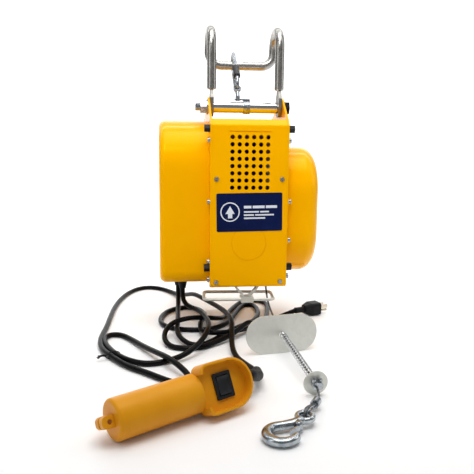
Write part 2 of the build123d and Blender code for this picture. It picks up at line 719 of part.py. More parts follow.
LATCH = (19.5, 7.4)
with BuildPart() as load_hook:
    neck_x, neck_y = bowl_point(bowl_start)
    with BuildLine(hook_plane) as hook_line:
        FilletPolyline((9.5, 0), (19.05, 0), (neck_x, neck_y), radius=12)
        CenterArc((BOWL_AT, 0), BOWL_R, -130, 255)
    neck = hook_plane.from_local_coords(Vector(9.5, 0, 0))
    with BuildSketch(Plane(origin=neck, z_dir=hook_plane.x_dir)):
        Circle(HOOK_R)
    sweep(path=hook_line.wire())
    tip_x, tip_y = bowl_point(bowl_end)
    with Locations(hook_plane.from_local_coords(Vector(tip_x, tip_y, 0))):
        Sphere(HOOK_R)
    with Locations(Plane(origin=EYE_AT, z_dir=hook_plane.z_dir)):
        Torus(8.5, 3.5)
    for z0, z1 in ((-4.6, -3.3), (3.3, 4.6)):
        with BuildSketch(hook_plane.offset(z0)):
            with BuildLine():
                Polyline((15.5, 1), (23.5, 1), (22.5, 9.5), (16.5, 9.5), close=True)
            make_face()
        extrude(amount=z1 - z0)
    latch_solid(-4.6, 4.6, 1.2)
save(load_hook.part, "load_hook")

with BuildPart() as hook_latch:
    latch_solid(-3, 3, 2.3)
    with BuildSketch(hook_plane.offset(-3)):
        with BuildLine():
            Polyline((19.5, 6.2), (37.5, 5.1), (37.5, 7.1), (19.5, 8.6), close=True)
        make_face()
    extrude(amount=6)
    latch_solid(-3, 3, 1.2 + FIT, Mode.SUBTRACT)
save(hook_latch.part, "hook_latch")

# ---- Pendant handset ----------------------------------------------------------------------

GRIP_R, GRIP_LONG, WALL = 22.5, 163.0, 2.6
grip_start = Vector(-190, -436, FLOOR + GRIP_R)
grip_dir = Vector(149, 89, 4.2).normalized()
roll = radians(25)                    # how far the switch face looks up
level_side = grip_dir.cross(Vector(*UP)).normalized()
face_dir = level_side * cos(roll) + level_side.cross(grip_dir) * sin(roll)
grip = Plane(origin=grip_start, x_dir=grip_dir, z_dir=face_dir)
grip_end = Plane(origin=grip_start, x_dir=grip.y_dir, z_dir=grip_dir)
HEAD = (102.3, 168.6)                 # head, along the handset
HEAD_HALF, HEAD_CORNER, HEAD_C, FLOOR_C, RIM_C = 28.7, 9.0, 3.0, 13.0, 25.0
RIM = 3.0                             # wall around the thumb recess
BODY_LONG = GRIP_LONG - 6             # round body, without the cord elbow
CORD_BORE = 12.0                      # how deep the elbow sits in the end
switch_at = 133.5


def head_outline(inset):
    """Head seen along the switch: rounded corners towards the grip and a round cord end."""
    x0, x1, half = HEAD[0] + inset, HEAD[1] - inset, HEAD_HALF - inset
    corner = HEAD_CORNER - inset
    bulge = corner * (1 - sqrt(0.5))
    with BuildLine() as line:
        Line((x1 - half, half), (x0 + corner, half))
        ThreePointArc((x0 + corner, half), (x0 + bulge, half - bulge), (x0, half - corner))
        Line((x0, half - corner), (x0, corner - half))
        ThreePointArc((x0, corner - half), (x0 + bulge, bulge - half), (x0 + corner, -half))
        Line((x0 + corner, -half), (x1 - half, -half))
        ThreePointArc((x1 - half, -half), (x1, 0), (x1 - half, half))
    make_face(line.edges())


with BuildPart() as handset:
    with BuildSketch(grip_end):
        Circle(GRIP_R)
    extrude(amount=BODY_LONG)
    fillet(handset.edges().filter_by(GeomType.CIRCLE), 4)
    with BuildSketch(grip.offset(HEAD_C)):
        head_outline(0)
    extrude(amount=RIM_C - HEAD_C)
    fillet(handset.faces().sort_by(Axis(tuple(grip_start), tuple(face_dir)))[-1].edges(), 1.2)
    for plate_c in (-9.5, 1.5):
        with BuildSketch(grip.offset(plate_c)):
            with Locations((-4.5, 0)):
                RectangleRounded(18, 13, 5)
        extrude(amount=8)
with BuildPart() as handset_space:
    with BuildSketch(grip_end.offset(WALL)):
        Circle(GRIP_R - WALL)
    extrude(amount=BODY_LONG - 2 * WALL)
    with BuildSketch(grip.offset(FLOOR_C - WALL)):
        with Locations(((HEAD[0] - 4 + GRIP_LONG) / 2, 0)):
            Rectangle(GRIP_LONG - HEAD[0] + 4, 2 * GRIP_R)
    extrude(amount=GRIP_R, mode=Mode.SUBTRACT)
    with BuildSketch(grip.offset(HEAD_C + WALL)):
        head_outline(WALL)
    extrude(amount=FLOOR_C - HEAD_C - 2 * WALL)
recess_half = sqrt(GRIP_R**2 - FLOOR_C**2)   # the grip's own width at the recess floor
with BuildPart() as handset_shell:
    add(handset.part)
    with BuildSketch(grip.offset(FLOOR_C)):
        head_outline(RIM)
        with Locations((HEAD[0] + HEAD_CORNER / 2, 0)):
            Rectangle(HEAD_CORNER, 2 * recess_half)
    extrude(amount=20, mode=Mode.SUBTRACT)
    add(handset_space.part, mode=Mode.SUBTRACT)
    with BuildSketch(grip.offset(-10)):
        with Locations((-5.5, 0)):
            Circle(2.6)
    extrude(amount=20, mode=Mode.SUBTRACT)
    with BuildSketch(grip.offset(FLOOR_C - 4)):
        with Locations((switch_at, 0)):
            Rectangle(20.1, 26.1)
    extrude(amount=5, mode=Mode.SUBTRACT)
    with BuildSketch(grip_end.offset(GRIP_LONG - CORD_BORE)):
        Circle(7.05)
    extrude(amount=HEAD[1] - GRIP_LONG + CORD_BORE, mode=Mode.SUBTRACT)
for label, side in (("handset_front_shell", Keep.TOP), ("handset_rear_shell", Keep.BOTTOM)):
    half = split(handset_shell.part, bisect_by=grip, keep=side)
    save(half, label)

with BuildPart() as rocker_bezel:
    with BuildSketch(grip.offset(FLOOR_C)):
        with Locations((switch_at, 0)):
            RectangleRounded(24, 30, 1.5)
    extrude(amount=2.2)
    with BuildSketch(grip.offset(FLOOR_C)):
        with Locations((switch_at, 0)):
            Rectangle(20, 26)
    extrude(amount=-14)
    with BuildSketch(grip.offset(FLOOR_C - 5)):
        with Locations((switch_at, 0)):
            Rectangle(16.6, 22.6)
    extrude(amount=10, mode=Mode.SUBTRACT)
save(rocker_bezel.part, "rocker_bezel")

with BuildPart() as rocker:
    with BuildSketch(Plane(origin=grip.from_local_coords(Vector(switch_at - 7.9, 0, 0)),
                           x_dir=grip.y_dir, z_dir=grip_dir)):
        with BuildLine():
            Polyline((-9.8, FLOOR_C - 1), (-10.4, FLOOR_C + 3.6))
            ThreePointArc((-10.4, FLOOR_C + 3.6), (0, FLOOR_C + 2.2), (10.4, FLOOR_C + 3.6))
            Polyline((10.4, FLOOR_C + 3.6), (9.8, FLOOR_C - 1), (0, FLOOR_C - 3), (-9.8, FLOOR_C - 1))
        make_face()
    extrude(amount=15.8)
save(rocker.part, "rocker")

elbow_start = grip_start + grip_dir * (GRIP_LONG - 10)
with BuildPart() as handset_elbow:
    with BuildLine() as elbow_line:
        FilletPolyline(tuple(elbow_start), tuple(grip_start + grip_dir * 184), (-19, -320, FLOOR + 17),
                       (-16, -287, FLOOR + 9), radius=[14, 24])
    with BuildSketch(Plane(origin=elbow_start, z_dir=grip_dir)):
        Circle(7)
    sweep(path=elbow_line.wire())
save(handset_elbow.part, "handset_elbow")

# ---- Cords --------------------------------------------------------------------------------

with BuildPart() as cord_glands:
    for x, y in GLANDS:
        with BuildSketch(Plane(origin=(x, y, 0), x_dir=(1, 0, 0), z_dir=(0, -1, 0))):
            with BuildLine():
                Polyline((0, -375), (8.4, -375), (8.4, -377.3), (5.9, -377.3), (5.9, -379.1),
                         (8.4, -379.1), (8.4, -384), (5.4, -399), (0, -399), close=True)
            make_face()
        revolve(axis=Axis((x, y, 0), (0, 0, 1)))
save(cord_glands.part, "cord_glands")


def hank(name, outline, thick):
    """Outer shape of loose turns: a flat pad with a soft upper edge."""
    with BuildPart() as pad:
        with BuildSketch(Plane.XY.offset(FLOOR)) as shape:
            with BuildLine():
                Polyline(*outline, close=True)
            make_face()
            fillet(shape.vertices(), 9)
        extrude(amount=thick)
        fillet(pad.faces().sort_by(Axis.Z)[-1].edges(), 3)
    save(pad.part, name)


OVER = FLOOR + 28                     # cord that lies over the mains hank
free_cord("pendant_cord_start", [
    (-103, -18, -399), (-103, -19, -411), (-101, -25, -422), (-93, -38, OVER), (-80, -56, OVER),
    (-70, -92, OVER), (-66, -132, OVER), (-70, -166, OVER - 1), (-84, -195, OVER - 10),
    (-107, -216, REST + 4), (-136, -229, REST),
    (-160, -236, REST)], CORD_D)
hank("pendant_cord_hank", [
    (-238, -126), (-226, -98), (-206, -100), (-184, -130), (-158, -190), (-120, -248), (-94, -306),
    (-112, -318), (-140, -288), (-168, -246), (-200, -226), (-218, -184)], 20)
free_cord("pendant_cord_end", [
    (-222, -110, REST), (-225, -60, REST), (-227, -5, REST), (-224, 60, REST), (-216, 116, REST),
    (-202, 166, REST), (-178, 198, REST), (-148, 194, REST), (-124, 164, REST), (-107, 126, REST + 2),
    (-94, 86, REST + 12), (-80, 48, OVER), (-64, 8, OVER), (-46, -36, OVER), (-33, -78, OVER),
    (-29, -118, OVER), (-33, -152, OVER - 8), (-37, -188, REST + 4), (-34, -222, REST),
    (-25, -254, REST + 2),
    (-16, -287, FLOOR + 9)], CORD_D)
free_cord("mains_cord_start", [
    (-110, 4, -399), (-110, 3, -412), (-110, -6, -424), (-111, -26, -434), (-112, -52, -440),
    (-113, -82, -443)], CORD_D)
hank("mains_cord_hank", [
    (-147, -38), (-134, 20), (-100, 58), (-64, 50), (-34, 14), (0, 62), (26, 66), (54, 88), (64, 62),
    (54, 6), (36, -48), (10, -104), (-34, -140), (-78, -176), (-112, -184), (-136, -182), (-146, -146),
    (-138, -96)], 16)
PLUG_AT = Vector(95, -21.2, FLOOR + 11.5)
PLUG_DIR = Vector(0.94, 0.34, 0).normalized()
free_cord("mains_cord_end", [
    (24, -64, REST), (38, -50, REST), (55, -38, REST + 0.5), (74, -29.5, REST + 3),
    tuple(PLUG_AT)], CORD_D)

plug = Plane(origin=PLUG_AT, x_dir=PLUG_DIR.cross(Vector(*UP)) * -1, z_dir=PLUG_DIR)
with BuildPart() as plug_body:
    with BuildSketch(plug):
        Circle(5.2)
    extrude(amount=20)
    with BuildSketch(plug.offset(18)):
        RectangleRounded(15, 15, 4)
    with BuildSketch(plug.offset(30)):
        RectangleRounded(25, 22, 5)
    loft()
    with BuildSketch(plug.offset(30)):
        RectangleRounded(25, 22, 5)
    extrude(amount=17)
save(plug_body.part, "plug_body")

with BuildPart() as plug_blades:
    with BuildSketch(plug.offset(47)):
        with Locations((-6.35, 3), (6.35, 3)):
            Rectangle(1.5, 6.3)
    extrude(amount=17)
    with BuildSketch(plug.offset(47)):
        with Locations((0, -5.5)):
            Circle(2.4)
    extrude(amount=19)
save(plug_blades.part, "plug_blades")
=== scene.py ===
import math

import bmesh
import bpy
import numpy as np
from mathutils import Matrix, Vector


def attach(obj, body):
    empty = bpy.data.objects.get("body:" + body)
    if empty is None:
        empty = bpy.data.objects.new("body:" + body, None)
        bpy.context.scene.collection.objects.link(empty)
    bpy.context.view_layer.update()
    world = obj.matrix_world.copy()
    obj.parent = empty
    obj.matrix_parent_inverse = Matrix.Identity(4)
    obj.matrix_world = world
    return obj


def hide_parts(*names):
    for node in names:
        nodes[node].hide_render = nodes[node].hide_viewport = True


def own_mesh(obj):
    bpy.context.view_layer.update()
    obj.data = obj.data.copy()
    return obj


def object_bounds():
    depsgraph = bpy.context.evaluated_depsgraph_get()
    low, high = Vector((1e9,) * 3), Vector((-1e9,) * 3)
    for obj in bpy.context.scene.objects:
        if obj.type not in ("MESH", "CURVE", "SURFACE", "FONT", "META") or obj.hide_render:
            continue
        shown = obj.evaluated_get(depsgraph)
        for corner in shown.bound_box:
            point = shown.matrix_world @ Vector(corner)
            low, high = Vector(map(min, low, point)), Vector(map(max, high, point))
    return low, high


# A portable electric rope hoist that hangs from two bar hooks, with its hand pendant, mains lead
# and rope end lying on the floor below. Lengths in the tables are millimetres, but the camera's,
# the studio's and the lamps' are metres.

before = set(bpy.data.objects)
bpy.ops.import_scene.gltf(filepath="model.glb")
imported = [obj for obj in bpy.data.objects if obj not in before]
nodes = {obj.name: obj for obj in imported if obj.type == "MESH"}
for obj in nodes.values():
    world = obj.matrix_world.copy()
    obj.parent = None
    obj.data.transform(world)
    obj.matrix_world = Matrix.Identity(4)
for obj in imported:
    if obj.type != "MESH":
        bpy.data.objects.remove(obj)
cadBox = [list(corner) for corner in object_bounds()]
mm = 0.001
floorZ = cadBox[0][2]  # the surface that everything loose lies on
print("frame loaded:", len(nodes), "nodes")


# Camera and cords

cameraFacts = {"place": (-0.1357, -1.0181, -0.1481), "yaw": 7.18, "pitch": 9.21, "roll": 0.65, "lens": 45.23}


def makeCamera(facts):
    # the view direction is turned by yaw about Z, lowered by pitch, then the picture rolled
    yaw, pitch, roll = (math.radians(facts[k]) for k in ("yaw", "pitch", "roll"))
    forward = Vector((math.sin(yaw), math.cos(yaw), 0))
    right = Vector((math.cos(yaw), -math.sin(yaw), 0))
    up = Vector((0, 0, 1))
    ahead = forward * math.cos(pitch) - up * math.sin(pitch)
    top = forward * math.sin(pitch) + up * math.cos(pitch)
    across = right * math.cos(roll) + top * math.sin(roll)
    upward = top * math.cos(roll) - right * math.sin(roll)
    data = bpy.data.cameras.new("camera")
    data.lens = facts["lens"]
    data.clip_start = 0.02
    camera = bpy.data.objects.new("camera", data)
    bpy.context.scene.collection.objects.link(camera)
    turn = Matrix((across, upward, -ahead)).transposed().to_4x4()
    camera.matrix_world = Matrix.Translation(facts["place"]) @ turn
    bpy.context.scene.camera = camera


makeCamera(cameraFacts)

cordDiameter = 8.0
rest = floorZ / mm + cordDiameter / 2  # height of a cord's centre on the floor
over = rest + 24                       # height where it lies over the mains turns


def level(points, layers):
    # plan points with a height in cord radii above the resting height
    return [(x, y, rest + up * cordDiameter / 2) for (x, y), up in zip(points, layers)]


mainsRoute = [
    (-110, 4, -399), (-110, 3, -412), (-110, -6, -423), (-111, -26, -432), (-112, -52, -437),
    (-113, -86, -440), (-116, -116, -441), (-111, -146, -446)]
mainsRoute += level([  # first loop, to the right and back
    (-94, -166), (-70, -158), (-52, -132), (-34, -104), (-12, -80), (14, -56), (29, -20), (34, 18), (31, 46),
    (17, 54), (4, 34), (-8, 2), (-20, -34), (-34, -66), (-56, -88), (-86, -92)], [0] * 16)
mainsRoute += level([  # the left loop, then the far right one
    (-117, -84), (-139, -60), (-142, -22), (-131, 18), (-102, 45), (-75, 34), (-63, 0), (-66, -42),
    (-77, -80), (-78, -116), (-60, -136), (-32, -126), (-2, -100), (24, -68), (42, -30), (51, 12),
    (57, 50), (50, 76), (30, 82), (10, 70)], [0] * 7 + [1.2, 2.4, 1.2, 2.2, 1.6, 0.6] + [0] * 7)
mainsRoute += level([  # back to the front loop and out to the plug
    (-6, 40), (-20, 6), (-32, -28), (-46, -58), (-70, -76), (-98, -88), (-124, -106), (-137, -134),
    (-130, -164), (-106, -178), (-78, -174), (-52, -154), (-26, -132), (0, -108)],
    [0, 0, 0, 2, 4, 4.8, 4.4, 2, 0, 0, 0, 0.6, 1.6, 4.8])
mainsRoute += [(20, -82, rest), (38, -58, rest), (56, -41, rest), (74, -30, rest + 3), (95, -21.2, -443.5)]

pendantRoute = [
    (-103, -18, -399), (-103, -19, -411), (-101, -25, -422), (-93, -38, over), (-80, -56, over),
    (-70, -92, over), (-66, -132, over), (-70, -166, over - 1), (-84, -195, over - 10),
    (-107, -216, rest + 4), (-136, -229, rest)]
pendantRoute += level([  # the tied hank
    (-162, -234), (-186, -220), (-204, -194), (-220, -156), (-228, -120), (-218, -102), (-200, -106),
    (-182, -134), (-165, -170), (-147, -206), (-126, -246), (-106, -284), (-100, -306), (-114, -310),
    (-136, -290), (-160, -263), (-186, -239), (-210, -202), (-226, -168), (-232, -132), (-231, -98)],
    [0, 0.3, 0.3, 0, 0, 0, 0, 0, 0.6, 1.6, 2.6, 1.4, 0, 0, 0, 0, 0, 0.3, 0, 0, 0])
pendantRoute += [  # the big loop behind the hoist, and forward over the mains turns to the handset
    (-228, -62, rest), (-227, -5, rest), (-224, 60, rest), (-216, 116, rest), (-202, 166, rest),
    (-178, 198, rest), (-148, 194, rest), (-124, 164, rest), (-107, 126, rest + 2),
    (-94, 86, rest + 12), (-80, 48, over), (-64, 8, over), (-46, -36, over), (-33, -78, over),
    (-29, -118, over), (-33, -152, over - 8), (-37, -188, rest + 4), (-34, -222, rest),
    (-25, -254, rest + 2), (-16, -287, -446)]

hookEye = Vector((17, -420, -446))                 # where the load hook hangs in the rope's eye
eyeWay = Vector((25, 41, 0)).normalized()          # from the hook back along the rope
eyeEnd = hookEye + eyeWay * 46.8                   # where the rope runs into its eye
springFrom, springTo = Vector((36.5, -195, -427)), Vector((48, -345, -439.5))
springWay = (springTo - springFrom).normalized()
ropeRoute = [
    (33, -51, -300), (33, -53, -346), (33.4, -61, -383), (34, -80, -407), (34.8, -112, -418),
    (35.6, -154, -423.5), tuple(springFrom), tuple(springFrom + springWay * 18),
    tuple(springTo - springWay * 18), tuple(springTo), (47, -361, -442.5), (45.5, -373, -445),
    tuple(eyeEnd)]


def makeCord(name, route, diameter):
    curve = bpy.data.curves.new(name, "CURVE")
    curve.dimensions = "3D"
    curve.resolution_u = 8
    curve.bevel_resolution = 5
    curve.use_fill_caps = True
    spline = curve.splines.new("NURBS")
    spline.points.add(len(route) - 1)
    for point, place in zip(spline.points, route):
        point.co = (place[0] * mm, place[1] * mm, place[2] * mm, 1)
    spline.order_u = 3
    spline.use_endpoint_u = True
    curve.bevel_depth = diameter * mm / 2
    piece = bpy.data.objects.new(name, curve)
    bpy.context.scene.collection.objects.link(piece)
    return piece


def splinePoints(route, step):
    # points of the route's own spline, spaced evenly by step, in metres
    guide = makeCord("guide", route, 0)
    guide.data.resolution_u = 24
    mesh = bpy.data.meshes.new_from_object(guide)
    points = np.empty(len(mesh.vertices) * 3)
    mesh.vertices.foreach_get("co", points)
    points = points.reshape(-1, 3)
    data = guide.data
    bpy.data.objects.remove(guide)
    bpy.data.curves.remove(data)
    bpy.data.meshes.remove(mesh)
    run = np.concatenate([[0], np.cumsum(np.linalg.norm(np.diff(points, axis=0), axis=1))])
    spots = np.linspace(0, run[-1], int(run[-1] / (step * mm)) + 2)
    return np.stack([np.interp(spots, run, points[:, axis]) for axis in range(3)], 1), run[-1]


pendantCord = makeCord("pendantCord", pendantRoute, cordDiameter)
mainsCord = makeCord("mainsCord", mainsRoute, cordDiameter)
ropeLine, ropeLength = splinePoints(ropeRoute, 0.8)
pendantLength = splinePoints(pendantRoute, 4)[1]
mainsLength = splinePoints(mainsRoute, 4)[1]
print("cords: pendant %.3f m, mains %.3f m, rope %.3f m" % (pendantLength, mainsLength, ropeLength))


# Materials

def hexColour(code):
    values = [int(code[i:i + 2], 16) / 255 for i in (1, 3, 5)]
    return [v / 12.92 if v <= 0.04045 else ((v + 0.055) / 1.055) ** 2.4 for v in values] + [1.0]


def addNode(tree, kind, settings=None, links=None):
    # settings go to the input of that name or number, or else to the node's own property
    node = tree.nodes.new("ShaderNode" + kind)
    for name, value in (settings or {}).items():
        if isinstance(name, str) and hasattr(node, name):
            setattr(node, name, value)
        else:
            node.inputs[name].default_value = value
    for name, source in (links or {}).items():
        tree.links.new(source, node.inputs[name])
    return node


def newMaterial(name, colour, metallic, roughness, **sockets):
    material = bpy.data.materials.new(name)
    material.use_nodes = True
    tree = material.node_tree
    shader = tree.nodes["Principled BSDF"]
    shader.inputs["Base Color"].default_value = hexColour(colour)
    shader.inputs["Metallic"].default_value = metallic
    shader.inputs["Roughness"].default_value = roughness
    for socket, value in sockets.items():
        shader.inputs[socket.replace("_", " ")].default_value = value
    material.diffuse_color = hexColour(colour)
    return material, tree, shader


def place(tree, stretch=(1, 1, 1)):
    where = addNode(tree, "TexCoord")
    return addNode(tree, "Mapping", {"Scale": stretch}, {"Vector": where.outputs["Object"]}).outputs["Vector"]


def grain(tree, size, detail=2.0, stretch=(1, 1, 1), roughness=0.5):
    # noise whose features are about size millimetres across
    return addNode(tree, "TexNoise", {"Scale": 1000 / size, "Detail": detail, "Roughness": roughness},
                   {"Vector": place(tree, stretch)}).outputs["Fac"]


def bandScale(pitch):
    # wave texture scale whose bands are about pitch millimetres apart
    return 1000 / pitch / math.pi


def colourBetween(tree, shader, fac, low, high, start=0.3, end=0.7):
    ramp = addNode(tree, "ValToRGB", links={"Fac": fac})
    ramp.color_ramp.elements[0].position = start
    ramp.color_ramp.elements[0].color = hexColour(low)
    ramp.color_ramp.elements[1].position = end
    ramp.color_ramp.elements[1].color = hexColour(high)
    tree.links.new(ramp.outputs["Color"], shader.inputs["Base Color"])
    return ramp


def roughBetween(tree, shader, fac, low, high):
    spread = addNode(tree, "MapRange", {"From Min": 0.3, "From Max": 0.7, "To Min": low, "To Max": high},
                     {"Value": fac})
    tree.links.new(spread.outputs["Result"], shader.inputs["Roughness"])


def relief(tree, shader, height, depth, edge=0.0, strength=1.0):
    # bump of depth millimetres, over edges rounded by edge millimetres
    bump = addNode(tree, "Bump", {"Strength": strength, "Distance": depth * mm}, {"Height": height})
    if edge:
        rounded = addNode(tree, "Bevel", {"samples": 4, "Radius": edge * mm})
        tree.links.new(rounded.outputs["Normal"], bump.inputs["Normal"])
    tree.links.new(bump.outputs["Normal"], shader.inputs["Normal"])


def powderCoat():
    # gloss polyester powder coat on sheet steel: deep even yellow, fine pale specks, light orange peel
    material, tree, shader = newMaterial("yellowPowderCoat", "#FFB600", 0, 0.3, Specular_IOR_Level=0.4,
                                         Specular_Tint=hexColour("#FFD21E"))
    ramp = colourBetween(tree, shader, grain(tree, 1.1, 1), "#FFB600", "#FFCB28", 0.68, 0.8)
    clouds = addNode(tree, "Mix", {"data_type": "RGBA", "blend_type": "MULTIPLY", 7: hexColour("#F6F2EC")},
                     {0: grain(tree, 70, 3), 6: ramp.outputs["Color"]})
    tree.links.new(clouds.outputs[2], shader.inputs["Base Color"])
    roughBetween(tree, shader, grain(tree, 8, 3), 0.17, 0.25)
    relief(tree, shader, grain(tree, 2.2, 1), 0.008, 0.8)
    return material


def printedPlate():
    # screen-printed aluminium label under clear film: navy, smooth, satin
    material, tree, shader = newMaterial("navyLabelFilm", "#001140", 0, 0.42, Specular_IOR_Level=0.12)
    colourBetween(tree, shader, grain(tree, 25, 2), "#000F3C", "#021446")
    roughBetween(tree, shader, grain(tree, 10, 3), 0.38, 0.48)
    relief(tree, shader, grain(tree, 6, 1), 0.015, 0.3)
    return material


def labelInk():
    # white screen ink: matt, slightly broken cover
    material, tree, shader = newMaterial("whiteLabelInk", "#DDE2EA", 0, 0.5)
    colourBetween(tree, shader, grain(tree, 1.2, 3), "#C9D0DC", "#EEF1F5")
    return material


def polishedRod():
    # bright-drawn stainless bar, polished: mirror-like with drawing lines and small scuffs
    material, tree, shader = newMaterial("polishedStainless", "#ABA9A4", 1, 0.28)
    roughBetween(tree, shader, grain(tree, 3, 4), 0.24, 0.34)
    colourBetween(tree, shader, grain(tree, 14, 3), "#9F9C96", "#B6B4B0")
    relief(tree, shader, grain(tree, 0.9, 3, (1, 1, 0.12)), 0.012, 0.4)
    return material


def brushedLug():
    # plasma-cut stainless plate, brushed: mid grey, soft, with grinding lines along its length
    material, tree, shader = newMaterial("brushedStainless", "#8B8882", 1, 0.42)
    colourBetween(tree, shader, grain(tree, 5, 3), "#7C7973", "#9A9791")
    roughBetween(tree, shader, grain(tree, 2, 4), 0.38, 0.5)
    relief(tree, shader, grain(tree, 0.7, 3, (1, 1, 0.15)), 0.02, 0.5)
    return material


def chromedTube():
    # chrome-plated tube: clear mirror, faint turning marks round it
    material, tree, shader = newMaterial("chromedTube", "#D6D6D4", 1, 0.08)
    roughBetween(tree, shader, grain(tree, 4, 3), 0.06, 0.12)
    relief(tree, shader, grain(tree, 0.8, 2, (1, 0.05, 0.05)), 0.006, 0.3)
    return material


def brightZinc(name="brightZincPlate", low="#8E949A", high="#B9BEC3", scale=5, shine=(0.2, 0.34)):
    # electroplated zinc, clear passivate: silvery with a blue-yellow cast and cloudy patches
    material, tree, shader = newMaterial(name, high, 1, shine[0])
    colourBetween(tree, shader, grain(tree, scale, 3), low, high)
    roughBetween(tree, shader, grain(tree, scale * 0.6, 4), *shine)
    relief(tree, shader, grain(tree, 0.7, 2), 0.01, 0.35)
    return material


def zincSheet():
    # mill-finished galvanised strip: light grey, matt, faint spangle and long rolling lines
    material, tree, shader = newMaterial("galvanisedStrip", "#D8D9D2", 0.7, 0.46)
    spangle = addNode(tree, "TexVoronoi", {"Scale": 1000 / 7}, {"Vector": place(tree)}).outputs["Color"]
    grey = addNode(tree, "RGBToBW", links={"Color": spangle}).outputs["Val"]
    colourBetween(tree, shader, grey, "#D5D6CF", "#DBDCD5", 0.1, 0.9)
    roughBetween(tree, shader, grain(tree, 10, 4), 0.42, 0.54)
    relief(tree, shader, grain(tree, 1.2, 3, (0.15, 1, 1)), 0.02, 0.4)
    return material


def blackOxide():
    # cap screws in black oxide: dark, oily, soft sheen
    material, tree, shader = newMaterial("blackOxideSteel", "#0A0A0C", 0.2, 0.34, Specular_IOR_Level=0.3)
    colourBetween(tree, shader, grain(tree, 2, 4), "#060608", "#131316")
    roughBetween(tree, shader, grain(tree, 3, 3), 0.28, 0.42)
    relief(tree, shader, grain(tree, 0.8, 2), 0.015, 0.5)
    return material


def boltFinish():
    # the cross bolt: bright zinc thread up to threadEnd, black cap from capStart on, along the bolt
    threadPitch, threadEnd, capStart = 1.75, -0.0741, 0.0605
    material, tree, shader = newMaterial("crossBoltFinish", "#C6CACE", 1, 0.26)
    side = addNode(tree, "SeparateXYZ", links={"Vector": place(tree)}).outputs["X"]
    dark = addNode(tree, "Math", {"operation": "GREATER_THAN", 1: capStart}, {0: side}).outputs["Value"]
    mixed = addNode(tree, "Mix", {"data_type": "RGBA", 6: hexColour("#C2C6CA"), 7: hexColour("#151518")},
                    {0: dark})
    tree.links.new(mixed.outputs[2], shader.inputs["Base Color"])
    thread = addNode(tree, "TexWave", {"wave_profile": "TRI", "Scale": bandScale(threadPitch),
                                       "Distortion": 0.0}, {"Vector": place(tree)}).outputs["Fac"]
    low = addNode(tree, "Math", {"operation": "LESS_THAN", 1: threadEnd}, {0: side}).outputs["Value"]
    cut = addNode(tree, "Math", {"operation": "MULTIPLY"}, {0: thread, 1: low}).outputs["Value"]
    relief(tree, shader, cut, 0.8, 0.4)
    roughBetween(tree, shader, grain(tree, 2, 3), 0.2, 0.34)
    return material


def cordSkin():
    # extruded PVC sheath: black, half gloss, faint draw lines and dust
    material, tree, shader = newMaterial("blackPvcSheath", "#050506", 0, 0.32, Specular_IOR_Level=0.11)
    colourBetween(tree, shader, grain(tree, 9, 4), "#030304", "#09090A")
    roughBetween(tree, shader, grain(tree, 4, 4), 0.26, 0.4)
    relief(tree, shader, grain(tree, 1.4, 2), 0.03)
    return material


def mouldedRubber(name="mouldedPvc", low="#08090B", high="#121316"):
    # moulded PVC grips, glands and plug: black, matt with a fine spark finish
    material, tree, shader = newMaterial(name, low, 0, 0.5, Specular_IOR_Level=0.2)
    colourBetween(tree, shader, grain(tree, 12, 3), low, high)
    roughBetween(tree, shader, grain(tree, 3, 3), 0.42, 0.56)
    relief(tree, shader, grain(tree, 0.5, 2), 0.03, 0.5)
    return material


def handsetPlastic():
    # injection-moulded ABS, satin: warm orange-yellow, spark-eroded skin, light flow marks
    material, tree, shader = newMaterial("amberAbs", "#DD9410", 0, 0.42, Specular_IOR_Level=0.35,
                                         Specular_Tint=hexColour("#FFDFA0"))
    colourBetween(tree, shader, grain(tree, 40, 3, (1, 1, 0.5)), "#DA9010", "#E29A1A")
    roughBetween(tree, shader, grain(tree, 5, 3), 0.34, 0.46)
    relief(tree, shader, grain(tree, 0.6, 2), 0.02, 0.7)
    return material


def rockerPlastic():
    # polished PA switch parts: dark slate, glossier than the moulded rubber
    material, tree, shader = newMaterial("slateSwitchNylon", "#0E1114", 0, 0.3)
    colourBetween(tree, shader, grain(tree, 6, 2), "#0B0D10", "#171B1F")
    relief(tree, shader, grain(tree, 0.5, 2), 0.012, 0.5)
    return material


def blackNylon():
    # glass-filled nylon: near black, grainy, satin
    material, tree, shader = newMaterial("blackNylon", "#141416", 0, 0.42)
    colourBetween(tree, shader, grain(tree, 1.0, 4), "#0E0E10", "#1E1E21")
    relief(tree, shader, grain(tree, 0.5, 3), 0.03, 0.4)
    return material


def motorIron():
    # stamped laminations under varnish: brown-black with fine lines a millimetre apart
    material, tree, shader = newMaterial("varnishedLaminations", "#2E2B29", 0.7, 0.45)
    line = addNode(tree, "TexWave", {"Scale": bandScale(1.0), "Distortion": 0.2},
                   {"Vector": place(tree)}).outputs["Fac"]
    colourBetween(tree, shader, line, "#1F1D1C", "#403B38")
    relief(tree, shader, line, 0.1, 0.4)
    return material


def copperWinding():
    # enamelled copper wire: red-brown, glossy, in ridges a wire apart, with painted shade darker between the
    # turns and a painted highlight lighter on their crowns
    material, tree, shader = newMaterial("enamelledCopper", "#8E4A22", 0.8, 0.3)
    wire = 1.1
    line = addNode(tree, "TexWave", {"wave_type": "RINGS", "rings_direction": "X",
                                     "Scale": bandScale(wire), "Distortion": 0.6},
                   {"Vector": place(tree)}).outputs["Fac"]
    # painted shade in the grooves and painted highlight on the crowns, both following the ridge wave
    colourBetween(tree, shader, line, "#5F2C12", "#A65A2C")
    relief(tree, shader, line, 0.25, 0.3)
    return material


def gearSteel():
    # machined and greased steel: mid grey, turning marks, amber film in patches
    material, tree, shader = newMaterial("machinedSteel", "#83817B", 1, 0.34)
    colourBetween(tree, shader, grain(tree, 7, 4), "#6F6A5E", "#93928E")
    roughBetween(tree, shader, grain(tree, 3, 3), 0.26, 0.42)
    relief(tree, shader, grain(tree, 0.9, 3, (0.2, 1, 1)), 0.02, 0.3)
    return material


